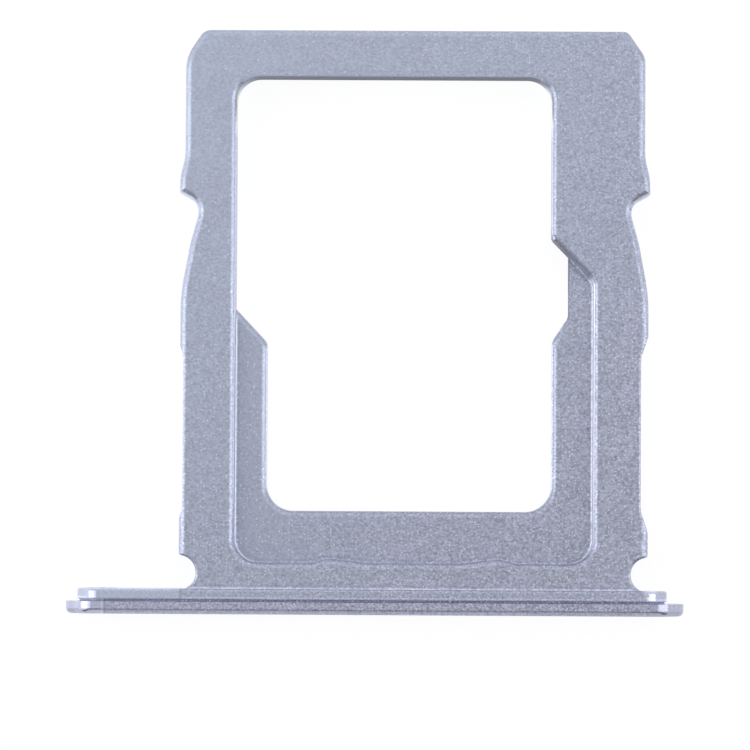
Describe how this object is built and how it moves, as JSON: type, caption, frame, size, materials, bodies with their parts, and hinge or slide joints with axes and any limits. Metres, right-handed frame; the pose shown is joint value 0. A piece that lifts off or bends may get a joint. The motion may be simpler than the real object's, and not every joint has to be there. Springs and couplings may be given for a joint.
{
  "type": "memory card tray",
  "caption": "Flat metal frame with a card-shaped pocket and a narrow face plate. It slides into a phone and carries a memory card.",
  "frame": {"origin": "middle of the overall box along X and Y, at the lower edge of the face plate", "axes": "+X along the face plate, away from the pin hole; +Y the way the tray is pushed into the phone; +Z out of the card pocket"},
  "size_m": [0.0192, 0.0182, 0.0019],
  "materials": {
    "tray_metal": "fine bead-blasted and anodised, bluish silver, with bright edges"
  },
  "bodies": {
    "root": {"card_tray": "tray_metal"}
  },
  "joints": []
}
